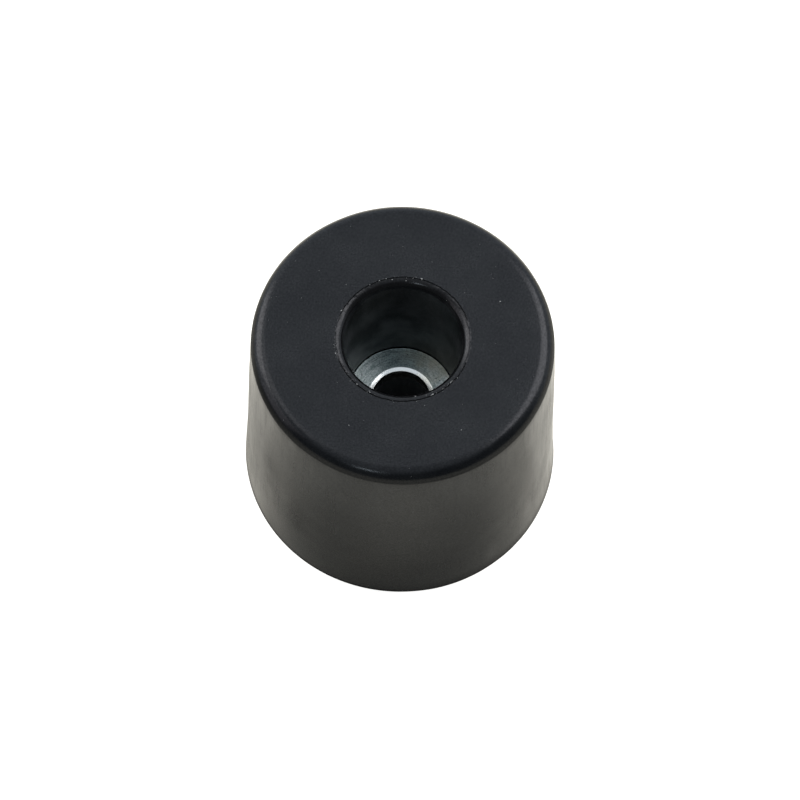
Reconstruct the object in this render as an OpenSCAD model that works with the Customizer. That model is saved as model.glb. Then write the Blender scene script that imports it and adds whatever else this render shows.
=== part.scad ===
// Moulded rubber foot with a deep screw recess and a moulded-in steel washer.
// The mounting base lies on z = 0, the floor face is on top, and the foot turns about Z.
// Lengths are in millimetres and angles in degrees.

/* [Rubber body] */
// Diameter of the mounting base
base_d = 38; // [32:0.5:60]
// Height from the mounting base to the floor face
height = 33; // [22:0.5:45]
// Draft of the side, which narrows towards the floor face
side_draft = 1.75; // [0.5:0.25:4]
// Radius of the edge around the floor face
edge_r = 1.8; // [0.5:0.1:4]

/* [Screw recess] */
// Diameter of the recess where it meets the washer
recess_d = 13; // [9:0.5:17]
// Draft of the recess wall, which widens towards the mouth
recess_draft = 2; // [0.5:0.25:4]
// Radius of the rounded mouth
mouth_r = 0.95; // [0.25:0.05:2.5]
// Width of the fine witness line that the mould's core leaves around the mouth
witness_w = 0.16; // [0.06:0.02:0.4]
// Depth of the witness line
witness_depth = 0.12; // [0.04:0.02:0.4]

/* [Washer and screw hole] */
// Thickness of the rubber between the mounting base and the washer
seat_t = 14; // [5:0.5:17]
// Outer diameter of the washer, buried in the rubber
washer_d = 22; // [18:0.5:29]
// Thickness of the washer
washer_t = 2; // [1:0.25:4]
// Diameter of the screw hole through the washer and the rubber under it
screw_d = 7; // [3.5:0.25:7.5]
// Radius of the pressed edge of the washer's hole
hole_edge_r = 0.5; // [0.1:0.05:0.7]

/* [Hidden] */
$fn = 160;

base_r = base_d / 2;
screw_r = screw_d / 2;
washer_r = washer_d / 2;
washer_top = seat_t + washer_t;

// Radii of the sloping side and of the sloping recess wall at height z
function side_r(z) = base_r - z * tan(side_draft);
function recess_r(z) = recess_d / 2 + (z - washer_top) * tan(recess_draft);

// How far a cut runs past the surface that it cuts
past = 1;
// How far a rounding reaches past its sloping wall, so that the two always cross
meet = 0.0005;

// Centres of the two rounded edges, each touching the floor face and meeting its sloping wall
edge_centre = [side_r(height - edge_r) - (edge_r - meet) / cos(side_draft), height - edge_r];
mouth_centre = [recess_r(height - mouth_r) + (mouth_r - meet) / cos(recess_draft), height - mouth_r];

// What to cut off a square edge to leave it rounded: turn is the direction of its sloping wall's normal
module edge_cut(centre, r, turn) {
    reach = r + past;
    side = sign(cos(turn));
    wall_point = centre + reach * [cos(turn), sin(turn)];
    difference() {
        polygon([
            centre,
            wall_point,
            [centre.x + side * reach, centre.y + reach],
            [centre.x, centre.y + reach]
        ]);
        translate(centre) circle(r);
    }
}

// Half section of the rubber: washer pocket, recess and hole included
module rubber_section() {
    difference() {
        polygon([
            [screw_r, 0],
            [base_r, 0],
            [side_r(height), height],
            [recess_r(height), height],
            [recess_r(washer_top), washer_top],
            [washer_r, washer_top],
            [washer_r, seat_t],
            [screw_r, seat_t]
        ]);
        edge_cut(edge_centre, edge_r, side_draft);
        edge_cut(mouth_centre, mouth_r, 180 - recess_draft);
        witness_cut();
    }
}

// V-shaped witness line, at the outer end of the mouth's rounding
module witness_cut() {
    rise = past * witness_w / (2 * witness_depth);
    translate([mouth_centre.x + witness_w / 2, height])
        polygon([
            [0, -witness_depth],
            [witness_w / 2 + rise, past],
            [-witness_w / 2 - rise, past]
        ]);
}

// Half section of the washer, with the rounded upper edge of its hole
module washer_section() {
    hole_centre = [screw_r + hole_edge_r, washer_top - hole_edge_r];
    difference() {
        translate([screw_r, seat_t])
            square([washer_r - screw_r, washer_t]);
        edge_cut(hole_centre, hole_edge_r, 180);
    }
}

module rubber_body() {
    color([0.17, 0.18, 0.19])
        rotate_extrude()
            rubber_section();
}

module steel_washer() {
    color([0.68, 0.71, 0.72])
        rotate_extrude()
            washer_section();
}

rubber_body();
steel_washer();
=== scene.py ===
# Screw-on rubber foot: a tapered moulded body, a zinc plated washer moulded in at the bottom
# of its screw recess, and the dust and torn flash of a part straight from the mould.
import math
import random

import bmesh
import bpy
from mathutils import Matrix, Vector


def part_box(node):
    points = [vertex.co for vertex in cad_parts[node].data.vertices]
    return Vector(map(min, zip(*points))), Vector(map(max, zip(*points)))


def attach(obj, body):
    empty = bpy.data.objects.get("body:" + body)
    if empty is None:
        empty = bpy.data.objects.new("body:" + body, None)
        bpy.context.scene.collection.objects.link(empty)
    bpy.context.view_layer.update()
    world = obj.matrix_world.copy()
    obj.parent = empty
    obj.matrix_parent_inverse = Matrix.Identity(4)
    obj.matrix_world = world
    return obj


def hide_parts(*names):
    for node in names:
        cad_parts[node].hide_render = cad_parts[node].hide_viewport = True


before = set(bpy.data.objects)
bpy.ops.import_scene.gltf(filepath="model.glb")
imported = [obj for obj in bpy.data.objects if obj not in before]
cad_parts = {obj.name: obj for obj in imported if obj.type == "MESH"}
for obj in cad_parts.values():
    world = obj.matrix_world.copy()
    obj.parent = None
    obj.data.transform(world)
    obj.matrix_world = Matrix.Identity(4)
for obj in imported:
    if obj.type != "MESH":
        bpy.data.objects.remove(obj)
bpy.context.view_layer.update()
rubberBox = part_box("rubber_body")
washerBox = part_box("steel_washer")
scene = bpy.context.scene
mm = 0.001
sharpAngle = math.radians(40)  # an edge that turns more than this isn't smoothed over

cameraValues = {
    "aim": (-0.00012, 0.00004, 0.01499),  # a little under half way up the foot
    "distance": 0.7289,
    "elevation": 66.14,  # degrees above the floor
    "roll": 1.85,
    "lens": 270.0,
    "sensor": 36.0,
    "farthest": 10.0,
}

# azimuth 0 is behind the camera and 90 is at its right; radiance 1 looks white
lightValues = {
    "rightBox": {"azimuth": 121, "elevation": 51, "distance": 0.8, "size": (0.56, 0.56),
                 "radiance": 3.0, "colour": "#f9f8fe"},
    "leftBox": {"azimuth": 242, "elevation": 34, "distance": 0.8, "size": (0.42, 0.54),
                "radiance": 3.1, "colour": "#fbf9fb"},
    "leftTop": {"azimuth": 235, "elevation": 66, "distance": 0.8, "size": (0.36, 0.24),
                "radiance": 1.2, "colour": "#fbf9fb"},
    "leftWall": {"azimuth": 279, "elevation": 28, "distance": 0.8, "size": (0.34, 0.62),
                 "radiance": 0.9, "colour": "#fbf6ff"},  # what spills past the left box
    "fillLamp": {"azimuth": -20, "elevation": 46, "distance": 0.8, "size": (0.08, 0.08),
                 "radiance": 14.0, "colour": "#e6f4ff"},
}

studioValues = {
    "wall": 1.06,  # the pale wall behind the foot, as reflections see it
    "wallReach": (-0.25, 0.3),  # from in front to behind, as a share
    "wallColour": "#e9f2ff",
    "ceiling": 0.725,
    "ceilingReach": (0.55, 1.0),  # the height of the look up, as a share
    "darkRoom": 0.17,
    "floorSize": 0.9,
    "floorDrop": 0.02,  # millimetres, clear of the foot's own base
    "floorColour": "#e1dccc",
    "floorGlow": 0.80,  # what the floor adds for the camera, so that it reads white
    # what reflections see of the floor: (millimetres from the foot's axis, share of its light)
    "poolStops": [(0.0, 0.72), (30.5, 0.72), (34.5, 0.2), (43.0, 0.2), (60.0, 0.44)],
    "poolReach": 100.0,  # millimetres that those stops are laid along
    "frontStretch": 0.19,  # the pool reaches further in front, and much further behind
    "backStretch": 0.75,
    # where the floor lies: each zone fades in from the first figure to the second. Distance is in
    # millimetres from the axis, and the others go from -1 to 1, in front to behind and left to right.
    "zones": {
        "front": ("depth", -0.25, -0.95, "SMOOTHSTEP"),
        "frontHalf": ("depth", -0.1, -0.3, "SMOOTHSTEP"),
        "flank": ("depth", -0.35, -0.05, "SMOOTHSTEP"),
        "notBehind": ("depth", 0.3, 0.0, "LINEAR"),
        "behind": ("depth", 0.35, 0.8, "SMOOTHSTEP"),
        "farBehind": ("depth", 0.4, 0.9, "SMOOTHSTEP"),
        "left": ("side", 0.5, -0.5, "SMOOTHSTEP"),
        "offMiddle": ("offSide", 0.15, 0.6, "LINEAR"),
        "byBase": ("distance", 21.8, 19.2, "SMOOTHSTEP"),
        "pastBase": ("distance", 21.0, 24.0, "SMOOTHSTEP"),
        "beforeRim": ("distance", 30.0, 27.0, "SMOOTHSTEP"),
        "flankRim": ("distance", 24.0, 27.5, "SMOOTHSTEP"),
        "withinRim": ("distance", 36.0, 30.0, "LINEAR"),
        "rim": ("distance", 26.0, 33.0, "SMOOTHSTEP"),
        "far": ("distance", 38.0, 49.0, "LINEAR"),
    },
    # how much brighter it is where all of these zones meet: the two shares hold where
    # the last zone is out and in
    "lifts": [
        (("behind",), "left", 0.14, 0.44),
        (("front", "far"), "left", 0.45, 0.45),
        (("notBehind", "notFront", "far"), "left", -0.18, -0.62),
        (("byBase",), "left", 0.26, 0.26),
        (("rim",), "left", 0.26, 0.26),
        (("pastBase", "beforeRim", "frontHalf"), "offMiddle", -0.03, -0.22),
        (("flank",), "left", 0.17, -0.11),
        (("flankRim", "withinRim", "flank"), "left", 0.16, 0.42),
    ],
    "contactShade": 0.12,  # in front of the foot, where it hides both boxes from the floor
    "contactReach": 25.0,  # millimetres from the axis
    "seamShade": 0.85,  # along the very edge of the base
    "paintedSeamShadeReach": 0.25,  # millimetres
    "poolGlow": 0.50,  # added beside and behind the foot
    "poolGlowColour": "#fff8ea",
}


# sRGB hex to the linear colour that the shaders mix
def linear(hexColour):
    parts = [int(hexColour[i:i + 2], 16) / 255 for i in (1, 3, 5)]
    return [c / 12.92 if c <= 0.04045 else ((c + 0.055) / 1.055) ** 2.4 for c in parts] + [1.0]


# pattern scale at which a texture's features are this many millimetres wide
def featureScale(size):
    return 1 / (size * mm)


# adds a node: each input is a plain value, or the node or socket that feeds it
def addNode(tree, kind, inputs=None, **settings):
    node = tree.nodes.new(kind)
    for name, value in settings.items():
        setattr(node, name, value)
    for key, value in (inputs or {}).items():
        source = value.outputs[0] if isinstance(value, bpy.types.Node) else value
        if isinstance(source, bpy.types.NodeSocket):
            tree.links.new(source, node.inputs[key])
        else:
            node.inputs[key].default_value = source
    return node


# where a Map Range node starts and ends, from two figures and their unit
def between(ends, unit=1.0):
    return {"From Min": ends[0] * unit, "From Max": ends[1] * unit}


# how a place lies off the foot's axis, and how far that is
def offAxis(tree, place):
    across = addNode(tree, "ShaderNodeVectorMath", {0: place, 1: (1, 1, 0)}, operation="MULTIPLY")
    radius = addNode(tree, "ShaderNodeVectorMath", {0: across}, operation="LENGTH")
    return across, radius.outputs["Value"]


# turns a new ramp's two stops into hex colours, each at its place from 0 to 1
def setStops(ramp, stops):
    for element, (place, colour) in zip(ramp.color_ramp.elements, stops):
        element.position = place
        element.color = linear(colour)


def newMaterial(name):
    material = bpy.data.materials.new(name)
    material.use_nodes = True
    material.node_tree.nodes.clear()
    return material, material.node_tree


# an empty geometry tree with one named input for each value: (socket type, default)
def newTree(name, values):
    tree = bpy.data.node_groups.new(name, "GeometryNodeTree")
    for way in ("INPUT", "OUTPUT"):
        tree.interface.new_socket("Geometry", in_out=way, socket_type="NodeSocketGeometry")
    for label, (kind, default) in values.items():
        socket = tree.interface.new_socket(label, in_out="INPUT", socket_type="NodeSocket" + kind)
        if default is not None:
            socket.default_value = default
    return tree, addNode(tree, "NodeGroupInput").outputs


# runs a geometry tree on a source object, and leaves only the plain mesh that it makes
def meshFromTree(name, source, tree, values):
    modifier = source.modifiers.new(tree.name, "NODES")
    modifier.node_group = tree
    for item in tree.interface.items_tree:
        if item.in_out == "INPUT" and item.name in values:
            modifier[item.identifier] = values[item.name]
    graph = bpy.context.evaluated_depsgraph_get()
    mesh = bpy.data.meshes.new_from_object(source.evaluated_get(graph), depsgraph=graph)
    mesh.name = name
    bpy.data.objects.remove(source)
    piece = bpy.data.objects.new(name, mesh)
    scene.collection.objects.link(piece)
    for polygon in mesh.polygons:
        polygon.use_smooth = True
    mesh.set_sharp_from_angle(angle=sharpAngle)
    return piece


# camera

def addCamera(values):
    data = bpy.data.cameras.new("camera")
    data.lens = values["lens"]
    data.sensor_width = values["sensor"]
    data.clip_end = values["farthest"]
    camera = bpy.data.objects.new("camera", data)
    scene.collection.objects.link(camera)
    tilt = math.radians(values["elevation"])
    back = Vector((0, -math.cos(tilt), math.sin(tilt)))
    roll = Matrix.Rotation(math.radians(values["roll"]), 4, "Z")
    turn = Matrix.Rotation(math.pi / 2 - tilt, 4, "X") @ roll
    camera.matrix_world = Matrix.Translation(Vector(values["aim"]) + values["distance"] * back) @ turn
    scene.camera = camera


# materials

# all sizes in millimetres
rubberValues = {
    "baseDark": "#090b0d",
    "baseBloom": "#121415",  # grey bloom that works out of the rubber
    "cloud": 7.0,
    "cloudReach": (0.38, 0.68),  # how much of a noise turns from the first colour to the second
    "roughness": 0.22,
    "cloudRoughness": 0.02,
    "glossReach": (0.3, 0.7),  # how much of a noise works on the gloss
    "ior": 1.36,  # the skin's carbon takes part of the gloss
    # each mask ends at a distance from the axis, softened by the second figure, and keeps what is inside
    "insideMask": (7.2, 0.12),
    "lipShadeMask": (8.1, 0.1),
    "sideMask": (17.9, 0.2),
    "insidePaintedShade": "#242728",  # painted shade and painted reflections: blotches on the recess wall between these two colours
    "insidePaintedReflection": "#434646",
    "insideReflectionBlotch": 3.2,
    "insideReflectionReach": (0.38, 0.64),
    "insidePaintedLightHeights": (30.5, 18.5),  # painted shade near the mouth, painted light towards the washer
    "insidePaintedLightShares": (0.28, 1.75),
    "insidePaintedLightSides": (0.80, 1.60),  # and painted light on the left
    "insideRoughness": 0.13,  # added there
    "lip": "#0b0b0b",  # painted shade: the mouth's rounding is painted darker than the rest
    "borePaintedLight": "#5c5f61",  # painted light: pale grey, lifting the dark hole from black
    "boreRadius": 3.7,
    # painted shade: the rubber in the gap round the washer is painted black, with no gloss; its middle and
    # its reach to both sides
    "shadedGapOut": (9.0, 2.6),  # from the axis
    "shadedGapUp": (15.0, 1.42),  # from the base
    "grain": 0.22,  # eroded mould surface, real grit 0.04 mm, drawn coarser so that it shows
    "grainHeight": 0.0022,
    "poreGloss": 0.18,  # how much the grain's pores change the gloss
    "orangePeel": 1.3,  # slow ripple of a hot-moulded skin
    "orangePeelHeight": 0.0012,
    "sidePeel": 3.5,  # times as high on the side as on the floor face
    "rub": 3.6,  # width of the dull patches where feet rubbed together in their bag
    "rubLength": 11.0,
    "rubGrain": 0.55,  # how much finer detail runs through them
    "rubReach": (0.35, 0.65),
    "rubRoughness": 0.07,
    # wear on the side: (degrees round from +X, height, width, length, gloss lost), gained if below 0
    "wear": [(-131, 10.7, 4.6, 13.0, 0.26), (-147, 15.5, 4.4, 12.0, 0.26), (-32, 6.0, 1.8, 8.0, -0.35),
             (-52, 4.0, 2.2, 6.0, -0.20), (-24, 21.4, 0.28, 0.30, 1.0), (-16, 9.1, 0.26, 0.30, 1.0),
             (-27, 13.5, 0.22, 0.26, 0.7), (-20, 5.2, 0.16, 2.2, 0.5), (-18.6, 3.6, 0.14, 2.6, 0.5),
             (-22, 8.6, 0.12, 1.8, 0.4), (-68, 25.4, 0.14, 1.4, -0.5), (-101, 27.6, 0.24, 0.22, -0.8)],
    "wearRadius": 18.6,
    "wearFade": (1.2, 0.2),  # where it starts and is full, as shares of a patch's half width
    "drawMark": 0.55,  # scuffs from drawing the foot out of its cavity
    "drawMarkLength": 12.0,
    "drawMarkGrain": 0.65,
    "drawMarkReach": (0.5, 0.75),
    "drawMarkHeight": 0.0015,
    "drawMarkRoughness": 0.06,
    "powderSpeck": 2.3,  # spacing of the release powder ground into the skin
    "powderRadius": 0.09,
    "powderFull": 0.4,  # share of that radius within which a speck is solid
    "powderChance": (0.55, 1.0),  # where none and all of it is left, by a pinhole's random value
    "powderShare": 0.8,
    "powder": "#5c5d5a",
}


# Natural rubber filled with carbon black, compression moulded in an eroded steel mould:
# a near-black body under a half-gloss skin that turns pale only at grazing angles
def mouldedRubber(values):
    material, tree = newMaterial("mouldedRubberHalfGloss")
    place = addNode(tree, "ShaderNodeTexCoord").outputs["Object"]
    parts = addNode(tree, "ShaderNodeSeparateXYZ", {0: place}).outputs
    radius = offAxis(tree, place)[1]
    masks = []
    for name in ("insideMask", "lipShadeMask", "sideMask"):
        middle, soft = values[name]
        masks.append(addNode(tree, "ShaderNodeMapRange", {
            "Value": radius, "From Min": (middle + soft) * mm, "From Max": (middle - soft) * mm}))
    inside, onShadedLip, offSide = masks
    onSide = addNode(tree, "ShaderNodeMath", {0: 1.0, 1: offSide}, operation="SUBTRACT")

    cloud = addNode(tree, "ShaderNodeTexNoise", {
        "Vector": place, "Scale": featureScale(values["cloud"]), "Detail": 4.0, "Roughness": 0.6})
    tint = addNode(tree, "ShaderNodeValToRGB", {"Fac": cloud})
    setStops(tint, zip(values["cloudReach"], (values["baseDark"], values["baseBloom"])))

    # release powder in pinholes, only where a cell's own random value is high
    cells = addNode(tree, "ShaderNodeTexVoronoi", {
        "Vector": place, "Scale": featureScale(values["powderSpeck"])})
    edge = values["powderRadius"] / values["powderSpeck"]
    near = addNode(tree, "ShaderNodeMapRange", {
        "Value": cells.outputs["Distance"], "From Min": edge, "From Max": values["powderFull"] * edge})
    draw = addNode(tree, "ShaderNodeSeparateColor", {"Color": cells.outputs["Color"]})
    chosen = addNode(tree, "ShaderNodeMapRange", {
        "Value": draw.outputs["Red"], **between(values["powderChance"]), "To Max": values["powderShare"]})
    speck = addNode(tree, "ShaderNodeMath", {0: near, 1: chosen}, operation="MULTIPLY")

    # painted reflections in blotches on the recess wall, with painted shade near the mouth and painted light
    # towards the washer and on the left
    patches = addNode(tree, "ShaderNodeTexNoise", {
        "Vector": place, "Scale": featureScale(values["insideReflectionBlotch"]), "Detail": 2.0})
    paintedRecessLight = addNode(tree, "ShaderNodeValToRGB", {"Fac": patches})
    setStops(paintedRecessLight, zip(values["insideReflectionReach"], (values["insidePaintedShade"], values["insidePaintedReflection"])))
    wall = values["insideMask"][0]
    for axis, reach, shares in (("Z", values["insidePaintedLightHeights"], values["insidePaintedLightShares"]),
                                ("X", (wall, -wall), values["insidePaintedLightSides"])):
        paintedLightShare = addNode(tree, "ShaderNodeMapRange", {
            "Value": parts[axis], **between(reach, mm), "To Min": shares[0], "To Max": shares[1]})
        paintedRecessLight = addNode(tree, "ShaderNodeVectorMath", {
            0: paintedRecessLight, "Scale": paintedLightShare}, operation="SCALE")

    inPaintedBore = addNode(tree, "ShaderNodeMath", {
        0: radius, 1: values["boreRadius"] * mm}, operation="LESS_THAN")
    nearShadedGap = [addNode(tree, "ShaderNodeMath", {
        0: source, 1: middle * mm, 2: reach * mm}, operation="COMPARE")
        for source, (middle, reach) in ((radius, values["shadedGapOut"]), (parts["Z"], values["shadedGapUp"]))]
    inShadedGap = addNode(tree, "ShaderNodeMath", {0: nearShadedGap[0], 1: nearShadedGap[1]}, operation="MULTIPLY")
    # laid over the skin: powder specks, the painted shade of the mouth's rounding, the recess's painted
    # reflections, the bore's painted light and the gap's painted shade
    skin = tint.outputs["Color"]
    for share, colour in ((speck, linear(values["powder"])), (onShadedLip, linear(values["lip"])),
                          (inside, paintedRecessLight), (inPaintedBore, linear(values["borePaintedLight"])), (inShadedGap, (0, 0, 0, 1))):
        skin = addNode(tree, "ShaderNodeMix", {
            "Factor": share, "A": skin, "B": colour}, data_type="RGBA").outputs["Result"]

    # rubbed patches and draw marks run up the side: noises drawn out along the height
    streaks = []
    for size, length, grain in ((values["rub"], values["rubLength"], values["rubGrain"]),
                                (values["drawMark"], values["drawMarkLength"], values["drawMarkGrain"])):
        drawnOut = addNode(tree, "ShaderNodeMapping", {"Vector": place, "Scale": (1, 1, size / length)})
        streaks.append(addNode(tree, "ShaderNodeTexNoise", {
            "Vector": drawnOut, "Scale": featureScale(size), "Detail": 3.0, "Roughness": grain}))
    rubbed, marks = streaks
    rubShare = addNode(tree, "ShaderNodeMath", {
        0: addNode(tree, "ShaderNodeMapRange", {
            "Value": rubbed, **between(values["rubReach"]),
            "To Min": -values["rubRoughness"] / 2, "To Max": values["rubRoughness"] / 2}),
        1: addNode(tree, "ShaderNodeMath", {0: onSide, 1: inside}, operation="MAXIMUM")},
        operation="MULTIPLY")
    markShare = addNode(tree, "ShaderNodeMapRange", {
        "Value": marks, **between(values["drawMarkReach"]), "To Max": values["drawMarkRoughness"]})
    cloudShare = addNode(tree, "ShaderNodeMapRange", {
        "Value": cloud, **between(values["glossReach"]),
        "To Min": values["roughness"] - values["cloudRoughness"],
        "To Max": values["roughness"] + values["cloudRoughness"]})
    roughness = addNode(tree, "ShaderNodeMath", {
        0: inside, 1: values["insideRoughness"], 2: cloudShare}, operation="MULTIPLY_ADD")
    for share in (markShare, rubShare, speck):
        roughness = addNode(tree, "ShaderNodeMath", {0: roughness, 1: share}, operation="ADD")
    roughness.use_clamp = True

    # each patch of wear falls off from its middle, and takes gloss or gives it
    gloss = values["ior"] - 1
    for angle, height, width, length, lost in values["wear"]:
        way = math.radians(angle)
        out = values["wearRadius"]
        middle = Vector((out * math.cos(way), out * math.sin(way), height)) * mm
        apart = addNode(tree, "ShaderNodeVectorMath", {0: place, 1: middle}, operation="SUBTRACT")
        scaled = addNode(tree, "ShaderNodeVectorMath", {
            0: apart, 1: (2 / (width * mm), 2 / (width * mm), 2 / (length * mm))}, operation="MULTIPLY")
        share = addNode(tree, "ShaderNodeMapRange", {
            "Value": addNode(tree, "ShaderNodeVectorMath", {0: scaled}, operation="LENGTH").outputs["Value"],
            **between(values["wearFade"]), "To Max": -lost * (values["ior"] - 1)},
            interpolation_type="SMOOTHSTEP")
        gloss = addNode(tree, "ShaderNodeMath", {0: gloss, 1: share}, operation="ADD")

    grain = addNode(tree, "ShaderNodeTexNoise", {
        "Vector": place, "Scale": featureScale(values["grain"]), "Detail": 2.0})
    pores = addNode(tree, "ShaderNodeMapRange", {
        "Value": grain, **between(values["glossReach"]),
        "To Min": 1 - values["poreGloss"], "To Max": 1 + values["poreGloss"]})
    # the gap's painted shade takes its gloss away too
    outsideShadedGap = addNode(tree, "ShaderNodeMath", {0: 1.0, 1: inShadedGap}, operation="SUBTRACT")
    ior = addNode(tree, "ShaderNodeMath", {
        0: addNode(tree, "ShaderNodeMath", {0: gloss, 1: pores}, operation="MULTIPLY"),
        1: outsideShadedGap, 2: 1.0}, operation="MULTIPLY_ADD")
    peel = addNode(tree, "ShaderNodeTexNoise", {
        "Vector": place, "Scale": featureScale(values["orangePeel"]), "Detail": 1.0})
    peelHeight = addNode(tree, "ShaderNodeMath", {
        0: peel, 1: addNode(tree, "ShaderNodeMapRange", {
            "Value": onSide, "To Min": 1.0, "To Max": values["sidePeel"]})}, operation="MULTIPLY")
    # each relief is laid over the one before it
    relief = {}
    for height, distance in ((marks, values["drawMarkHeight"]), (peelHeight, values["orangePeelHeight"]),
                             (grain, values["grainHeight"])):
        relief = {"Normal": addNode(tree, "ShaderNodeBump", {
            "Height": height, "Strength": 1.0, "Distance": distance * mm, **relief})}
    shader = addNode(tree, "ShaderNodeBsdfPrincipled", {
        "Base Color": skin, "Roughness": roughness, "IOR": ior, **relief})
    addNode(tree, "ShaderNodeOutputMaterial", {"Surface": shader})
    return material


# all sizes in millimetres
zincValues = {
    "bright": "#a1b1ae",
    "dull": "#677271",
    # painted sheen: the metal is painted lighter in two beams, towards +X and -X, as a polished washer would
    # shine round its hole
    "brightPaintedSheen": "#f2faf6",
    "dullPaintedSheen": "#a9bab4",
    "paintedSheenReach": (0.25, 0.92),  # where the painted sheen begins and is full: 0 is at the back and 1 on the X axis
    "roughness": 0.47,
    "grainRoughness": 0.07,  # how far dull and bright stand off that
    "glossReach": (0.36, 0.64),
    "frost": 0.19,  # crystals of the plating
    "line": 0.13,  # lines of the deburring wheel round the hole, drawn coarser so that they show
    "lineLength": 2.6,
    "lineRadius": 5.0,  # where that length holds
    "lineShare": 0.42,
    "lineStretch": 0.75,  # how far they spread the gloss across themselves
    "grainReach": (0.43, 0.57),  # narrower gives more contrast between dull and bright
    "stain": "#b9b39a",  # thin yellowish film of the passivation
    "stainSize": 2.6,
    "stainReach": (0.35, 0.7),
    "stainShare": 0.6,
    "stainSide": (-1.0, 2.0),  # it grows towards +X between these
    # pits and a scratch: (degrees round from +X, distance from the axis, length, width)
    "pits": [(84, 5.7, 0.15, 0.13), (150, 5.6, 0.40, 0.10), (32, 4.9, 0.16, 0.14), (27, 5.2, 0.18, 0.12),
             (155, 5.0, 0.14, 0.10), (121, 6.0, 0.10, 0.10)],
    "pitFade": (1.2, 0.7),  # where one starts and is full, as shares of its half width
    "pit": "#20282a",
    "paintedSeamShadeReach": (6.45, 6.49),  # painted shade: black from here out, where the rubber's overhang shades the washer
    "seamPaintedShade": "#060606",
    "burnished": "#fdfff9",  # the edge that the punch burnished
    "ringFilm": "#fbf5d0",
    "burnishedReach": (4.06, 3.92),
    "burnishedRoughness": 0.27,
}


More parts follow.
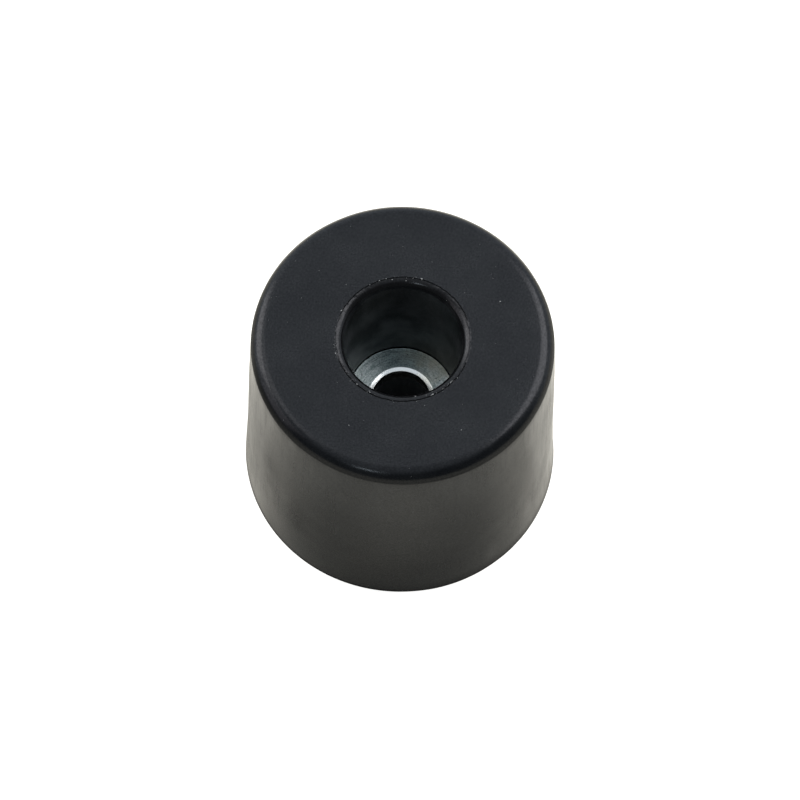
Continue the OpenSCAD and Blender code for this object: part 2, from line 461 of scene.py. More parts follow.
# Sheet steel, punched and clear zinc plated, then dulled by the mould's heat: a bluish grey
# metal with a frosted sheen, painted lighter in two beams towards +X and -X, fine lines round its hole and a
# bright burnished edge
def zincPlatedSteel(values):
    material, tree = newMaterial("zincPlatedSteelFrosted")
    place = addNode(tree, "ShaderNodeTexCoord").outputs["Object"]
    parts = addNode(tree, "ShaderNodeSeparateXYZ", {0: place}).outputs
    across, radius = offAxis(tree, place)
    frost = addNode(tree, "ShaderNodeTexNoise", {
        "Vector": place, "Scale": featureScale(values["frost"]), "Detail": 4.0, "Roughness": 0.7})
    # a noise laid out round the hole and drawn out along it
    around = addNode(tree, "ShaderNodeMath", {0: parts["X"], 1: parts["Y"]}, operation="ARCTAN2")
    unrolled = addNode(tree, "ShaderNodeCombineXYZ", {
        "X": radius,
        "Y": addNode(tree, "ShaderNodeMath", {
            0: around, 1: values["lineRadius"] * mm * values["line"] / values["lineLength"]},
            operation="MULTIPLY")})
    lines = addNode(tree, "ShaderNodeTexNoise", {
        "Vector": unrolled, "Scale": featureScale(values["line"]), "Detail": 2.0, "Roughness": 0.6})
    grain = addNode(tree, "ShaderNodeMix", {
        "Factor": values["lineShare"], "A": frost, "B": lines}, data_type="FLOAT").outputs["Result"]
    tints = []
    for ends in (("dull", "bright"), ("dullPaintedSheen", "brightPaintedSheen")):
        ramp = addNode(tree, "ShaderNodeValToRGB", {"Fac": grain})
        setStops(ramp, zip(values["grainReach"], (values[end] for end in ends)))
        tints.append(ramp)
    # painted sheen: lighter colours towards +X and -X
    fromBack = addNode(tree, "ShaderNodeMath", {
        0: addNode(tree, "ShaderNodeMath", {0: parts["X"]}, operation="ABSOLUTE"), 1: radius},
        operation="DIVIDE")
    paintedSheen = addNode(tree, "ShaderNodeMapRange", {
        "Value": fromBack, **between(values["paintedSheenReach"])}, interpolation_type="SMOOTHSTEP")
    steel = addNode(tree, "ShaderNodeMix", {
        "Factor": paintedSheen, "A": tints[0], "B": tints[1]}, data_type="RGBA").outputs["Result"]

    film = addNode(tree, "ShaderNodeTexNoise", {
        "Vector": place, "Scale": featureScale(values["stainSize"]), "Detail": 2.0})
    filmShare = addNode(tree, "ShaderNodeMath", {
        0: addNode(tree, "ShaderNodeMapRange", {
            "Value": film, **between(values["stainReach"]), "To Max": values["stainShare"]}),
        1: addNode(tree, "ShaderNodeMapRange", {
            "Value": parts["X"], **between(values["stainSide"], mm)})}, operation="MULTIPLY")
    layers = [(filmShare, values["stain"])]
    for angle, out, length, width in values["pits"]:
        way = math.radians(angle)
        middle = (out * math.cos(way) * mm, out * math.sin(way) * mm, 0.0)
        offPit = addNode(tree, "ShaderNodeVectorMath", {0: across, 1: middle}, operation="SUBTRACT")
        squared = addNode(tree, "ShaderNodeMapping", {
            "Vector": offPit, "Rotation": (0, 0, -way), "Scale": (2 / (width * mm), 2 / (length * mm), 1)})
        fromPit = addNode(tree, "ShaderNodeVectorMath", {0: squared}, operation="LENGTH").outputs["Value"]
        layers.append((addNode(tree, "ShaderNodeMapRange", {
            "Value": fromPit, **between(values["pitFade"])}), values["pit"]))
    atPaintedSeamShade, burnished = [addNode(tree, "ShaderNodeMapRange", {
        "Value": radius, **between(reach, mm)})
        for reach in (values["paintedSeamShadeReach"], values["burnishedReach"])]
    # painted shade in the seam under the rubber's overhang
    layers.append((atPaintedSeamShade, values["seamPaintedShade"]))
    for share, colour in layers:
        steel = addNode(tree, "ShaderNodeMix", {
            "Factor": share, "A": steel, "B": linear(colour)}, data_type="RGBA").outputs["Result"]
    ring = addNode(tree, "ShaderNodeMix", {
        "Factor": filmShare, "A": linear(values["burnished"]), "B": linear(values["ringFilm"])},
        data_type="RGBA").outputs["Result"]
    colour = addNode(tree, "ShaderNodeMix", {"Factor": burnished, "A": steel, "B": ring}, data_type="RGBA")
    plain = addNode(tree, "ShaderNodeMapRange", {
        "Value": grain, **between(values["glossReach"]),
        "To Min": values["roughness"] + values["grainRoughness"],
        "To Max": values["roughness"] - values["grainRoughness"]})
    roughness = addNode(tree, "ShaderNodeMix", {
        "Factor": burnished, "A": plain, "B": values["burnishedRoughness"]}, data_type="FLOAT")
    shader = addNode(tree, "ShaderNodeBsdfPrincipled", {
        "Base Color": colour.outputs["Result"], "Metallic": 1.0,
        "Roughness": roughness.outputs["Result"], "Tangent": across,
        "Anisotropic": addNode(tree, "ShaderNodeMapRange", {
            "Value": burnished, "To Min": values["lineStretch"], "To Max": 0.0})})
    addNode(tree, "ShaderNodeOutputMaterial", {"Surface": shader})
    return material


powderValues = {
    "pale": "#9c9c97",
    "dirty": "#6a6a66",
    "clump": 0.5,  # millimetres
    "clumpReach": (0.35, 0.65),
    "roughness": 0.85,
}


# Talc that keeps the rubber from sticking to its mould, with torn flash dusted by it:
# a chalky grey with no gloss
def releasePowder(values):
    material, tree = newMaterial("talcReleasePowder")
    place = addNode(tree, "ShaderNodeTexCoord").outputs["Object"]
    clump = addNode(tree, "ShaderNodeTexNoise", {
        "Vector": place, "Scale": featureScale(values["clump"]), "Detail": 2.0})
    tint = addNode(tree, "ShaderNodeValToRGB", {"Fac": clump})
    setStops(tint, zip(values["clumpReach"], (values["dirty"], values["pale"])))
    shader = addNode(tree, "ShaderNodeBsdfPrincipled", {
        "Base Color": tint, "Roughness": values["roughness"]})
    addNode(tree, "ShaderNodeOutputMaterial", {"Surface": shader})
    return material


# geometry

# what the mould leaves on everything turned here, in millimetres or as shares
mouldValues = {
    "topFacing": (0.2, 0.9),  # how far a face looks up before it counts as the top
    "lipPatch": 14.0,
    "lipPatchReach": (0.5, 0.8),
    "lipSideShare": 0.3,
    "lineReach": (0.3, 0.1),  # from the middle of the witness line
    "nibble": 0.7,
    "closedSides": (0.90, 0.98),  # the line closes between these shares of the way to the side
}


# Turns a closed half section about Z. The source curve holds the section as (radius, height)
# points, clockwise, and each point's own radius is the rounding of that corner.
def turnedTree(values):
    tree, given = newTree("turnedSection", {
        "Axis Distance": ("Float", 0.01), "Turn Steps": ("Int", 64), "Corner Steps": ("Int", 6),
        "Ring Spacing": ("Float", 0.001), "Unevenness": ("Float", 0.0),
        "Unevenness Size": ("Float", 0.005), "Unevenness On Top": ("Float", 1.0),
        "Flat Below": ("Float", 0.0), "Lip Reach": ("Float", 0.0), "Lip Height": ("Float", 0.001),
        "Lip Inside": ("Float", 1.0), "Lip Side": ("Vector", (-1.0, 0.0, 0.0)),
        "Line Radius": ("Float", -1.0), "Line Height": ("Float", 0.0), "Line Top": ("Float", 0.0),
        "Line Raggedness": ("Float", 0.0), "Material": ("Material", None)})
    place = addNode(tree, "GeometryNodeInputPosition").outputs[0]
    parts = addNode(tree, "ShaderNodeSeparateXYZ", {0: place}).outputs
    normal = addNode(tree, "GeometryNodeInputNormal").outputs[0]
    across, radius = offAxis(tree, place)
    away = addNode(tree, "ShaderNodeVectorMath", {0: across}, operation="NORMALIZE")

    # the section, with rings at even distances, swept along a circle
    rounded = addNode(tree, "GeometryNodeFilletCurve", {
        "Curve": given["Geometry"], "Count": given["Corner Steps"],
        "Radius": addNode(tree, "GeometryNodeInputRadius"), "Limit Radius": True}, mode="POLY")
    nextIndex = addNode(tree, "ShaderNodeMath", {
        0: addNode(tree, "GeometryNodeInputIndex"), 1: 1.0}, operation="ADD")
    nextPlace = addNode(tree, "GeometryNodeFieldAtIndex", {"Index": nextIndex, "Value": place},
                        data_type="FLOAT_VECTOR")
    gap = addNode(tree, "ShaderNodeVectorMath", {0: nextPlace, 1: place}, operation="DISTANCE")
    rings = addNode(tree, "ShaderNodeMath", {
        0: gap.outputs["Value"], 1: given["Ring Spacing"]}, operation="DIVIDE")
    ringed = addNode(tree, "GeometryNodeSubdivideCurve", {
        "Curve": rounded, "Cuts": addNode(tree, "ShaderNodeMath", {0: rings}, operation="FLOOR")})
    outward = addNode(tree, "ShaderNodeMath", {
        0: parts["X"], 1: given["Axis Distance"]}, operation="SUBTRACT")
    down = addNode(tree, "ShaderNodeMath", {0: parts["Y"], 1: -1.0}, operation="MULTIPLY")
    section = addNode(tree, "GeometryNodeSetPosition", {
        "Geometry": ringed,
        "Position": addNode(tree, "ShaderNodeCombineXYZ", {"X": outward, "Y": down})})
    path = addNode(tree, "GeometryNodeCurvePrimitiveCircle", {
        "Resolution": given["Turn Steps"], "Radius": given["Axis Distance"]})
    upright = addNode(tree, "GeometryNodeSetCurveNormal", {"Curve": path}, mode="Z_UP")
    turned = addNode(tree, "GeometryNodeCurveToMesh", {"Curve": upright, "Profile Curve": section})

    # slow unevenness of a soft moulding, none where it lies flat on the product
    noise = addNode(tree, "ShaderNodeTexNoise", {
        "Vector": place, "Detail": 1.0,
        "Scale": addNode(tree, "ShaderNodeMath", {0: 1.0, 1: given["Unevenness Size"]}, operation="DIVIDE")})
    amount = addNode(tree, "ShaderNodeMapRange", {"Value": noise, "To Min": -1.0, "To Max": 1.0})
    facing = addNode(tree, "ShaderNodeSeparateXYZ", {0: normal})
    calm = addNode(tree, "ShaderNodeMapRange", {
        "Value": facing.outputs["Z"], **between(values["topFacing"]),
        "To Min": 1.0, "To Max": given["Unevenness On Top"]})
    hold = addNode(tree, "ShaderNodeMapRange", {
        "Value": parts["Z"], "From Min": 0.0, "From Max": given["Flat Below"]})
    for share in (hold, calm, given["Unevenness"]):
        amount = addNode(tree, "ShaderNodeMath", {0: amount, 1: share}, operation="MULTIPLY")
    uneven = addNode(tree, "GeometryNodeSetPosition", {
        "Geometry": turned,
        "Offset": addNode(tree, "ShaderNodeVectorMath", {0: normal, "Scale": amount}, operation="SCALE")})

    # the thin lip that the mould's parting leaves round the base, in patches
    outer = addNode(tree, "ShaderNodeMath", {0: radius, 1: given["Lip Inside"]}, operation="GREATER_THAN")
    low = addNode(tree, "ShaderNodeMapRange", {
        "Value": parts["Z"], "From Min": given["Lip Height"], "From Max": 0.0})
    sided = addNode(tree, "ShaderNodeVectorMath", {0: away, 1: given["Lip Side"]}, operation="DOT_PRODUCT")
    patch = addNode(tree, "ShaderNodeTexNoise", {
        "Vector": across, "Scale": featureScale(values["lipPatch"]), "Detail": 3.0})
    patchShare = addNode(tree, "ShaderNodeMath", {
        0: sided.outputs["Value"], 1: values["lipSideShare"], 2: patch}, operation="MULTIPLY_ADD")
    reach = addNode(tree, "ShaderNodeMapRange", {
        "Value": patchShare, **between(values["lipPatchReach"])})
    for share in (given["Lip Reach"], outer, low):
        reach = addNode(tree, "ShaderNodeMath", {0: reach, 1: share}, operation="MULTIPLY")
    lipped = addNode(tree, "GeometryNodeSetPosition", {
        "Geometry": uneven,
        "Offset": addNode(tree, "ShaderNodeVectorMath", {0: away, "Scale": reach}, operation="SCALE")})

    # torn edges of the witness line: nibbles a fraction of a millimetre long
    offLine = addNode(tree, "ShaderNodeMath", {
        0: addNode(tree, "ShaderNodeMath", {0: radius, 1: given["Line Radius"]}, operation="SUBTRACT")},
        operation="ABSOLUTE")
    nearLine = addNode(tree, "ShaderNodeMapRange", {
        "Value": offLine, **between(values["lineReach"], mm)})
    aloft = addNode(tree, "ShaderNodeMath", {
        0: parts["Z"], 1: given["Line Height"]}, operation="GREATER_THAN")
    onLine = addNode(tree, "ShaderNodeMath", {0: nearLine, 1: aloft}, operation="MULTIPLY")
    nibble = addNode(tree, "ShaderNodeTexNoise", {
        "Vector": place, "Scale": featureScale(values["nibble"]), "Detail": 2.0, "Roughness": 0.7})
    bite = addNode(tree, "ShaderNodeVectorMath", {
        0: addNode(tree, "ShaderNodeVectorMath", {
            0: nibble.outputs["Color"], 1: (0.5, 0.5, 0.5)}, operation="SUBTRACT"),
        "Scale": addNode(tree, "ShaderNodeMath", {
            0: onLine, 1: given["Line Raggedness"]}, operation="MULTIPLY")}, operation="SCALE")
    # the line closes up at both sides, where the mould's core stood tight
    sideways = addNode(tree, "ShaderNodeMath", {
        0: addNode(tree, "ShaderNodeSeparateXYZ", {0: away}).outputs["X"]}, operation="ABSOLUTE")
    closed = addNode(tree, "ShaderNodeMapRange", {
        "Value": sideways, **between(values["closedSides"])}, interpolation_type="SMOOTHSTEP")
    fill = addNode(tree, "ShaderNodeMath", {0: given["Line Top"], 1: parts["Z"]}, operation="SUBTRACT")
    for share in (onLine, closed):
        fill = addNode(tree, "ShaderNodeMath", {0: fill, 1: share}, operation="MULTIPLY")
    torn = addNode(tree, "GeometryNodeSetPosition", {
        "Geometry": lipped,
        "Offset": addNode(tree, "ShaderNodeVectorMath", {
            0: bite, 1: addNode(tree, "ShaderNodeCombineXYZ", {"Z": fill})}, operation="ADD")})

    whole = addNode(tree, "GeometryNodeRealizeInstances", {"Geometry": torn})
    dressed = addNode(tree, "GeometryNodeSetMaterial", {
        "Geometry": whole, "Material": given["Material"]})
    addNode(tree, "NodeGroupOutput", {"Geometry": dressed})
    return tree


# a closed section as a curve: corners are (radius, height, rounding) in millimetres
def sectionCurve(name, corners):
    data = bpy.data.curves.new(name, "CURVE")
    data.dimensions = "3D"
    spline = data.splines.new("POLY")
    spline.points.add(len(corners) - 1)
    spline.use_cyclic_u = True
    for point, (radius, height, rounding) in zip(spline.points, corners):
        point.co = (radius * mm, height * mm, 0, 1)
        point.radius = rounding * mm
    source = bpy.data.objects.new(name, data)
    scene.collection.objects.link(source)
    return source


# what every turned piece tells the tree
def turnSettings(values, material):
    return {
        "Axis Distance": values["axisDistance"] * mm, "Turn Steps": values["turnSteps"],
        "Corner Steps": values["cornerSteps"], "Ring Spacing": values["ringSpacing"] * mm,
        "Unevenness": values["unevenness"] * mm, "Unevenness Size": values["unevennessSize"] * mm,
        "Flat Below": values["flatBelow"] * mm, "Material": material,
    }


bodyValues = {
    "baseRadius": rubberBox[1].x / mm,
    "height": rubberBox[1].z / mm,
    "sideDraft": 1.75,  # degrees
    "edgeRounding": 1.8,
    # how far the soft side stands off its drafted line: (height, distance)
    "sideSwell": [(24.0, 0.10), (10.0, -0.08)],
    "swellRounding": 400.0,
    "topSwell": 0.06,
    "baseRounding": 0.05,
    "recessRadius": 6.5,  # where it meets the washer
    "recessDraft": 2.0,
    "mouthRounding": 0.95,
    "mouthTilt": 10.0,  # the rounding meets the floor face at an edge, not smoothly
    "mouthSteps": 19,
    "witnessWidth": 0.16,  # line left by the mould's core around the mouth
    "witnessDepth": 0.12,
    "witnessRounding": 0.02,
    "calmRings": (0.2, 0.36),  # past the line, to keep its ragged shading to itself
    "screwRadius": 3.5,
    "screwRounding": 0.2,
    "washerRadius": washerBox[1].x / mm,
    "washerTop": washerBox[1].z / mm,
    "washerBottom": washerBox[0].z / mm,
    # the dark gap where the rubber shrank away from the washer: (distance, height) off their corner
    "washerGap": [(0.14, 0.0), (0.16, 0.28), (0.02, 0.36)],
    "gapRounding": 0.03,
    "unevenness": 0.03,
    "unevennessSize": 5.0,
    "unevennessOnTop": 0.25,
    "flatBelow": 2.0,
    "lipReach": 0.08,
    "lipHeight": 0.8,
    "lipWidth": 1.0,
    "lipSide": (0.8, -0.6, 0.0),  # the mould stood open by a hair on this side
    "lineRaggedness": 0.20,
    "lineHeight": 0.4,  # from the floor face down, as far as the line is ragged
    "axisDistance": 10.0,  # of the circle that the section is swept along
    "turnSteps": 384,
    "cornerSteps": 14,
    "ringSpacing": 1.5,
}


# points of the rounded mouth, from the recess wall up to its end on the floor face
def mouthArc(values, recessTop, mouthEnd):
    tilt = values["mouthTilt"]
    steep = 90 - values["recessDraft"]
    slope = math.tan(math.radians(values["recessDraft"]))
    first = math.sin(math.radians(tilt))
    last = math.sin(math.radians(steep))
    radius = (mouthEnd - recessTop + values["mouthRounding"] * slope) / (last - first)
    steps = values["mouthSteps"]
    for step in range(steps + 1):
        way = math.radians(((steps - step) * steep + step * tilt) / steps)
        yield (mouthEnd - radius * (math.sin(way) - first),
               values["height"] - radius * (math.cos(math.radians(tilt)) - math.cos(way)), 0)


def makeRubberBody(tree, values, material):
    top = values["height"]
    sideSlope = math.tan(math.radians(values["sideDraft"]))
    sideTop = values["baseRadius"] - top * sideSlope
    recessHeight = top - values["washerTop"]
    recessTop = values["recessRadius"] + recessHeight * math.tan(math.radians(values["recessDraft"]))
    mouthEnd = recessTop + values["mouthRounding"] * math.tan(math.radians(45 - values["recessDraft"] / 2))
    lineEnd = mouthEnd + values["witnessWidth"]
    lineRadius = mouthEnd + values["witnessWidth"] / 2
    lineRounding = values["witnessRounding"]
    lipTop = values["lipHeight"]
    shrunk = [(values["recessRadius"] + out, values["washerTop"] + up) for out, up in values["washerGap"]]
    corners = [
        (values["screwRadius"], 0, values["screwRounding"]),
        (values["screwRadius"], values["washerBottom"], 0),
        (values["washerRadius"], values["washerBottom"], 0),
        (values["washerRadius"], values["washerTop"], 0),
        (*shrunk[0], 0),
        (*shrunk[1], 0),
        (*shrunk[2], values["gapRounding"]),
        *mouthArc(values, recessTop, mouthEnd),
        (lineRadius, top - values["witnessDepth"], lineRounding),
        (lineEnd, top, lineRounding),
        *[(lineEnd + ring, top, 0) for ring in values["calmRings"]],
        (sideTop + values["topSwell"], top, values["edgeRounding"]),
        *[(values["baseRadius"] - high * sideSlope + off, high, values["swellRounding"])
          for high, off in values["sideSwell"]],
        (values["baseRadius"] - lipTop * sideSlope, lipTop, 0),
        (values["baseRadius"], 0, values["baseRounding"]),
    ]
    piece = meshFromTree("rubberBody", sectionCurve("rubberSection", corners), tree, {
        **turnSettings(values, material), "Unevenness On Top": values["unevennessOnTop"],
        "Lip Reach": values["lipReach"] * mm, "Lip Height": lipTop * mm,
        "Lip Inside": (values["baseRadius"] - values["lipWidth"]) * mm, "Lip Side": values["lipSide"],
        "Line Radius": lineRadius * mm, "Line Height": (top - values["lineHeight"]) * mm,
        "Line Top": top * mm, "Line Raggedness": values["lineRaggedness"] * mm})
    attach(piece, "root")
    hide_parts("rubber_body")
    return piece


washerValues = {
    "holeRadius": 3.5,
    "outerRadius": washerBox[1].x / mm,
    "top": washerBox[1].z / mm,
    "bottom": washerBox[0].z / mm,
    "bevelWidth": 0.46,  # burnished edge where the punch drew the steel in
    "bevelDrop": 0.15,
    "bevelRounding": 0.3,
    "holeRoundings": (0.1, 0.05),  # at the bottom, and under the bevel
    "rimRadius": 6.5,  # the mould's core presses a fine raised rim here
    "rimWidth": 0.14,
    "rimHeight": 0.05,
    "rimRoundings": (0.05, 0.02),
    "rimLean": 0.03,
    "unevenness": 0.006,
    "unevennessSize": 3.0,
    "flatBelow": 1.0,
    "axisDistance": 7.0,
    "turnSteps": 192,
    "cornerSteps": 8,
    "ringSpacing": 0.5,
}


def makeWasher(tree, values, material):
    hole = values["holeRadius"]
    top = values["top"]
    rim = values["rimRadius"]
    corners = [
        (hole, values["bottom"], values["holeRoundings"][0]),
        (hole, top - values["bevelDrop"], values["holeRoundings"][1]),
        (hole + values["bevelWidth"], top, values["bevelRounding"]),
        (rim - values["rimWidth"], top, values["rimRoundings"][0]),
        (rim - values["rimLean"], top + values["rimHeight"], values["rimRoundings"][1]),
        (rim, top, 0),
        (values["outerRadius"], top, 0),
        (values["outerRadius"], values["bottom"], 0),
    ]
    piece = meshFromTree("zincWasher", sectionCurve("washerSection", corners), tree,
                         turnSettings(values, material))
    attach(piece, "root")
    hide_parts("steel_washer")
    return piece


# dust

dustValues = {
    "onTop": 0.05,  # specks for each square millimetre of the floor face
    "onSide": 0.012,
    "size": 0.033,  # radius in millimetres
    "sizes": ((0.4, 0.4, 0.25), (1.7, 1.2, 0.5)),  # times that in length, width and height
    "topFacing": (0.6, 0.95),  # how far up a face looks before it counts as the top
    "lowestFacing": -0.2,
    "cleanRadius": 7.2,  # none in the recess
    "seed": 7,
}


# Scatters low specks over the upward and outward faces of a mesh, more of them on top
def dustTree(values):
    tree, given = newTree("dustSpecks", {
        "Top Density": ("Float", 1.0), "Side Density": ("Float", 1.0), "Speck Size": ("Float", 0.001),
        "Speck Seed": ("Int", 0), "Clean Radius": ("Float", 0.0), "Material": ("Material", None)})
    place = addNode(tree, "GeometryNodeInputPosition").outputs[0]
    normal = addNode(tree, "ShaderNodeSeparateXYZ", {0: addNode(tree, "GeometryNodeInputNormal")})
    upward = addNode(tree, "ShaderNodeMapRange", {
        "Value": normal.outputs["Z"], **between(values["topFacing"])})
    density = addNode(tree, "ShaderNodeMapRange", {
        "Value": upward, "To Min": given["Side Density"], "To Max": given["Top Density"]})
    downward = addNode(tree, "ShaderNodeMath", {
        0: normal.outputs["Z"], 1: values["lowestFacing"]}, operation="GREATER_THAN")
    outside = addNode(tree, "ShaderNodeMath", {
        0: offAxis(tree, place)[1], 1: given["Clean Radius"]}, operation="GREATER_THAN")
    wanted = addNode(tree, "ShaderNodeMath", {0: downward, 1: outside}, operation="MULTIPLY")
    points = addNode(tree, "GeometryNodeDistributePointsOnFaces", {
        "Mesh": given["Geometry"], "Selection": wanted, "Density": density, "Seed": given["Speck Seed"]})
    speck = addNode(tree, "GeometryNodeMeshIcoSphere", {"Radius": given["Speck Size"], "Subdivisions": 1})
    smallest, largest = values["sizes"]
    scale, spin = [addNode(tree, "FunctionNodeRandomValue", {
        "Min": low, "Max": high, "Seed": given["Speck Seed"]}, data_type="FLOAT_VECTOR")
        for low, high in ((smallest, largest), ((0, 0, 0), (0, 0, math.tau)))]
    turned = addNode(tree, "FunctionNodeRotateRotation", {
        "Rotation": points.outputs["Rotation"], "Rotate By": spin}, rotation_space="LOCAL")
    specks = addNode(tree, "GeometryNodeInstanceOnPoints", {
        "Points": points.outputs["Points"], "Instance": speck, "Rotation": turned, "Scale": scale})
    whole = addNode(tree, "GeometryNodeRealizeInstances", {"Geometry": specks})
    dressed = addNode(tree, "GeometryNodeSetMaterial", {
        "Geometry": whole, "Material": given["Material"]})
    addNode(tree, "NodeGroupOutput", {"Geometry": dressed})
    return tree


def makeDust(body, values, material):
    source = bpy.data.objects.new("dustGround", body.data.copy())
    scene.collection.objects.link(source)
    squareMetre = 1 / mm ** 2  # in square millimetres
    piece = meshFromTree("talcDust", source, dustTree(values), {
        "Top Density": values["onTop"] * squareMetre, "Side Density": values["onSide"] * squareMetre,
        "Speck Size": values["size"] * mm, "Speck Seed": values["seed"],
        "Clean Radius": values["cleanRadius"] * mm, "Material": material})
    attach(piece, "root")
    return piece


# torn flash

flashValues = {
    # (degrees round from +X, distance from the axis, length, width) in millimetres
    "onLine": [
        (76, 8.22, 0.30, 0.20), (112, 8.13, 0.22, 0.13), (101, 7.88, 0.20, 0.12), (89, 7.68, 0.16, 0.11),
        (106, 8.16, 0.16, 0.09), (121, 8.12, 0.16, 0.08), (155, 8.19, 0.24, 0.17),
        (-165, 8.22, 0.20, 0.13), (-42, 7.95, 0.50, 0.14), (-62, 7.98, 0.42, 0.16),
        (-77, 7.50, 0.22, 0.12), (-52, 7.98, 0.24, 0.10), (-118, 7.96, 0.26, 0.10),
        (-131, 8.02, 0.24, 0.11), (-124, 8.00, 0.18, 0.09),
    ],
    "onFace": [
        (25, 12.6, 0.22, 0.15), (-58, 13.6, 0.18, 0.12), (-118, 12.9, 0.16, 0.12), (140, 13.4, 0.16, 0.10),
    ],
    # finer crumbs: how many, from and to which angle, and how far from the axis
    "crumbs": [(26, -175, -95, 7.75, 8.35), (12, -95, -30, 7.6, 8.3), (10, 60, 125, 7.9, 8.4)],
    "crumbSize": (0.05, 0.11),
    "thickness": 0.07,
    "tear": (0.65, 1.25),  # how far a corner is pulled in or out
    "swing": 0.35,  # radians that a scrap may turn away from the line
    "pastRounding": 0.6,  # from the end of the mouth's own rounding to where the face is flat
    "seed": 11,
}


# a torn scrap: a flattened ball of twenty faces with its corners pulled about
def addScrap(mesh, dice, tear, centre, turn, size):
    ball = bmesh.ops.create_icosphere(mesh, subdivisions=1, radius=0.5)["verts"]
    for corner in ball:
        corner.co *= dice.uniform(*tear)
        corner.co = centre + turn @ Vector([c * s for c, s in zip(corner.co, size)])


def makeFlash(bodySizes, values, material):
    dice = random.Random(values["seed"])
    places = random.Random(values["seed"] + 1)
    scraps = values["onLine"] + values["onFace"]
    for count, first, last, inner, outer in values["crumbs"]:
        for _ in range(count):
            scraps.append((places.uniform(first, last), places.uniform(inner, outer),
                           places.uniform(*values["crumbSize"]), places.uniform(*values["crumbSize"])))
    mesh = bmesh.new()
    rounding = bodySizes["mouthRounding"]
    faceRadius = bodySizes["recessRadius"] + rounding + values["pastRounding"]
    for angle, radius, length, width in scraps:
        way = math.radians(angle)
        # further in, the mouth's rounding falls away from the floor face
        inward = max(0.0, faceRadius - radius)
        fall = rounding - math.sqrt(max(0.0, rounding ** 2 - inward ** 2))
        centre = Vector((radius * math.cos(way), radius * math.sin(way), bodySizes["height"] - fall)) * mm
        swing = dice.uniform(-values["swing"], values["swing"])
        turn = Matrix.Rotation(way + math.pi / 2 + swing, 3, "Z")
        size = Vector((length, width, min(values["thickness"], width))) * mm
        addScrap(mesh, dice, values["tear"], centre, turn, size)
    data = bpy.data.meshes.new("tornFlash")
    mesh.to_mesh(data)
    mesh.free()
    data.materials.append(material)
    piece = bpy.data.objects.new("tornFlash", data)
    scene.collection.objects.link(piece)
    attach(piece, "root")
    return piece


# studio

# a soft box or panel that faces the foot, as bright to look at as its radiance
def addPanel(name, values):
    width, height = values["size"]
    data = bpy.data.lights.new(name, "AREA")
    data.shape = "RECTANGLE"
    data.size = width
    data.size_y = height
    data.energy = values["radiance"] * width * height * math.pi
    data.color = linear(values["colour"])[:3]
    azimuth = math.radians(values["azimuth"])
    elevation = math.radians(values["elevation"])
    away = Vector((math.sin(azimuth) * math.cos(elevation), -math.cos(azimuth) * math.cos(elevation),
                   math.sin(elevation)))
    panel = bpy.data.objects.new(name, data)
    scene.collection.objects.link(panel)
    panel.rotation_mode = "QUATERNION"
    panel.rotation_quaternion = away.to_track_quat("Z", "Y")
    panel.location = away * values["distance"]


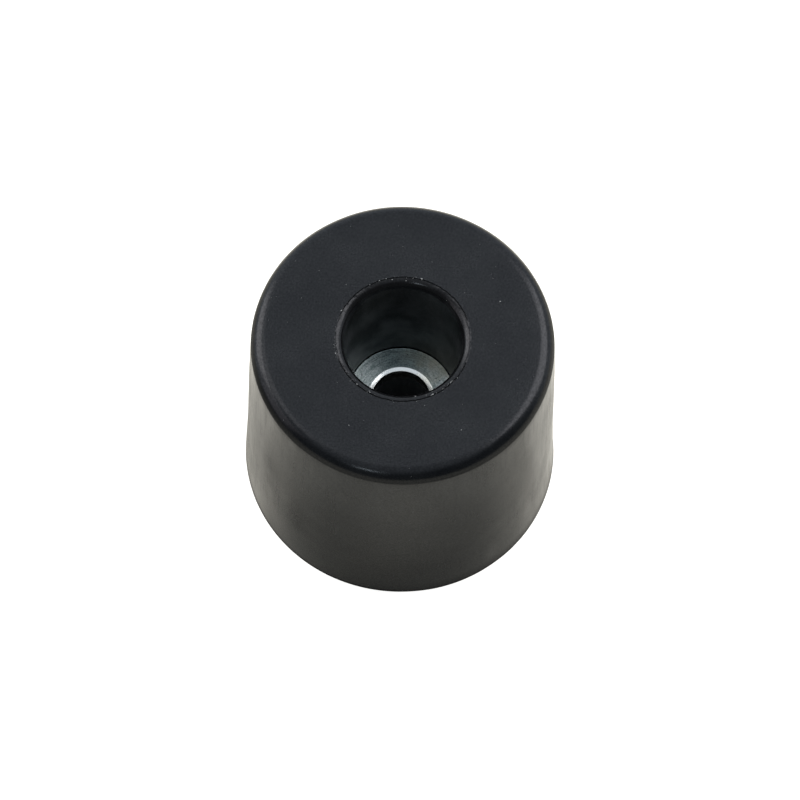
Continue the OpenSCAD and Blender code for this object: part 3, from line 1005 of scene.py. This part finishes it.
def addFloor(values):
    half = values["floorSize"] / 2
    mesh = bpy.data.meshes.new("floor")
    drop = -values["floorDrop"] * mm
    mesh.from_pydata([(-half, -half, drop), (half, -half, drop), (half, half, drop), (-half, half, drop)],
                     [], [(0, 1, 2, 3)])
    floor = bpy.data.objects.new("floor", mesh)
    scene.collection.objects.link(floor)
    material, tree = newMaterial("paleFloor")
    rays = addNode(tree, "ShaderNodeLightPath").outputs
    mirrored = addNode(tree, "ShaderNodeMath", {
        0: rays["Is Glossy Ray"], 1: rays["Is Transmission Ray"]}, operation="MAXIMUM")
    place = addNode(tree, "ShaderNodeTexCoord").outputs["Object"]
    parts = addNode(tree, "ShaderNodeSeparateXYZ", {0: place}).outputs
    radius = addNode(tree, "ShaderNodeVectorMath", {0: place}, operation="LENGTH").outputs["Value"]
    side = addNode(tree, "ShaderNodeMath", {0: parts["X"], 1: radius}, operation="DIVIDE")
    measures = {
        "depth": addNode(tree, "ShaderNodeMath", {0: parts["Y"], 1: radius}, operation="DIVIDE"),
        "side": side,
        "offSide": addNode(tree, "ShaderNodeMath", {0: side}, operation="ABSOLUTE"),
        "distance": addNode(tree, "ShaderNodeMath", {0: radius, 1: mm}, operation="DIVIDE"),
    }
    zones = {}
    for name, (measure, start, end, fade) in values["zones"].items():
        zones[name] = addNode(tree, "ShaderNodeMapRange", {
            "Value": measures[measure], **between((start, end))}, interpolation_type=fade)
    zones["notFront"] = addNode(tree, "ShaderNodeMath", {0: 1.0, 1: zones["front"]}, operation="SUBTRACT")

    # the pool of light round the foot, laid out along its distance and stretched in front and behind
    stretched = addNode(tree, "ShaderNodeMath", {
        0: measures["distance"], 1: 1 / values["poolReach"]}, operation="MULTIPLY")
    for name, stretch in (("farBehind", values["backStretch"]), ("front", values["frontStretch"])):
        squeeze = addNode(tree, "ShaderNodeMapRange", {
            "Value": zones[name], "To Min": 1.0, "To Max": 1 - stretch})
        stretched = addNode(tree, "ShaderNodeMath", {0: stretched, 1: squeeze}, operation="MULTIPLY")
    pool = addNode(tree, "ShaderNodeValToRGB", {"Fac": stretched})
    stops = pool.color_ramp.elements
    while len(stops) < len(values["poolStops"]):
        stops.new(0.5)
    for stop, (distance, level) in zip(stops, values["poolStops"]):
        stop.position = distance / values["poolReach"]
        stop.color = (level, level, level, 1)
    for names, last, out, into in values["lifts"]:
        lift = addNode(tree, "ShaderNodeMapRange", {"Value": zones[last], "To Min": out, "To Max": into})
        for name in names:
            lift = addNode(tree, "ShaderNodeMath", {0: lift, 1: zones[name]}, operation="MULTIPLY")
        pool = addNode(tree, "ShaderNodeMath", {0: pool, 1: lift, 2: pool}, operation="MULTIPLY_ADD")
    near = addNode(tree, "ShaderNodeMapRange", {
        "Value": radius, "From Min": rubberBox[1].x, "From Max": values["contactReach"] * mm,
        "To Min": -values["contactShade"], "To Max": 0.0}, interpolation_type="SMOOTHSTEP")
    contact = addNode(tree, "ShaderNodeMath", {
        0: near, 1: zones["front"], 2: 1.0}, operation="MULTIPLY_ADD")
    seamPaintedShade = addNode(tree, "ShaderNodeMapRange", {
        "Value": radius, "From Min": rubberBox[1].x, "From Max": rubberBox[1].x + values["paintedSeamShadeReach"] * mm,
        "To Min": 1 - values["seamShade"]})
    for shade in (contact, seamPaintedShade):
        pool = addNode(tree, "ShaderNodeMath", {0: pool, 1: shade}, operation="MULTIPLY")

    # it glows a little for reflections, and reads white to the camera, but not under the foot
    glow = addNode(tree, "ShaderNodeMapRange", {
        "Value": zones["front"], "To Min": values["poolGlow"], "To Max": 0.0})
    for share in (pool, mirrored):
        glow = addNode(tree, "ShaderNodeMath", {0: glow, 1: share}, operation="MULTIPLY")
    glow = addNode(tree, "ShaderNodeMath", {
        0: rays["Is Camera Ray"], 1: values["floorGlow"], 2: glow}, operation="MULTIPLY_ADD")
    clear = addNode(tree, "ShaderNodeMath", {0: radius, 1: rubberBox[1].x}, operation="GREATER_THAN")
    glowColour = addNode(tree, "ShaderNodeMix", {
        "Factor": mirrored, "A": (1, 1, 1, 1), "B": linear(values["poolGlowColour"])}, data_type="RGBA")
    seen = addNode(tree, "ShaderNodeMix", {"Factor": mirrored, "A": 1.0, "B": pool}, data_type="FLOAT")
    paint = addNode(tree, "ShaderNodeBsdfDiffuse", {"Color": addNode(tree, "ShaderNodeVectorMath", {
        0: linear(values["floorColour"])[:3], "Scale": seen.outputs["Result"]}, operation="SCALE")})
    light = addNode(tree, "ShaderNodeEmission", {
        "Color": glowColour.outputs["Result"],
        "Strength": addNode(tree, "ShaderNodeMath", {0: glow, 1: clear}, operation="MULTIPLY")})
    both = addNode(tree, "ShaderNodeAddShader", {0: paint, 1: light})
    addNode(tree, "ShaderNodeOutputMaterial", {"Surface": both})
    mesh.materials.append(material)


# white to look at; for the light and the reflections, a pale wall behind the foot,
# a dimmer ceiling and a dark room behind the camera
def addRoom(values):
    world = bpy.data.worlds.new("room")
    scene.world = world
    world.use_nodes = True
    world.node_tree.nodes.clear()
    tree = world.node_tree
    rays = addNode(tree, "ShaderNodeLightPath").outputs
    way = addNode(tree, "ShaderNodeSeparateXYZ", {
        0: addNode(tree, "ShaderNodeTexCoord").outputs["Generated"]})
    wall = addNode(tree, "ShaderNodeMapRange", {
        "Value": way.outputs["Y"], **between(values["wallReach"]),
        "To Min": values["darkRoom"], "To Max": values["wall"]}, interpolation_type="SMOOTHSTEP")
    ceiling = addNode(tree, "ShaderNodeMapRange", {
        "Value": way.outputs["Z"], **between(values["ceilingReach"]), "To Max": values["ceiling"]},
        interpolation_type="SMOOTHSTEP")
    room = addNode(tree, "ShaderNodeMath", {0: wall, 1: ceiling}, operation="MAXIMUM")
    strength = addNode(tree, "ShaderNodeMix", {
        "Factor": rays["Is Camera Ray"], "A": room, "B": 1.0}, data_type="FLOAT")
    colour = addNode(tree, "ShaderNodeMix", {
        "Factor": rays["Is Camera Ray"], "A": linear(values["wallColour"]), "B": (1, 1, 1, 1)},
        data_type="RGBA")
    background = addNode(tree, "ShaderNodeBackground", {
        "Color": colour.outputs["Result"], "Strength": strength.outputs["Result"]})
    addNode(tree, "ShaderNodeOutputWorld", {"Surface": background})


scene.view_settings.view_transform = "Standard"
addCamera(cameraValues)
addRoom(studioValues)
addFloor(studioValues)
for panelName, panelValues in lightValues.items():
    addPanel(panelName, panelValues)
print("studio ready")

turned = turnedTree(mouldValues)
body = makeRubberBody(turned, bodyValues, mouldedRubber(rubberValues))
print("rubber body turned")
makeWasher(turned, washerValues, zincPlatedSteel(zincValues))
print("washer turned")
powder = releasePowder(powderValues)
makeDust(body, dustValues, powder)
makeFlash(bodyValues, flashValues, powder)
print("dust and torn flash laid")
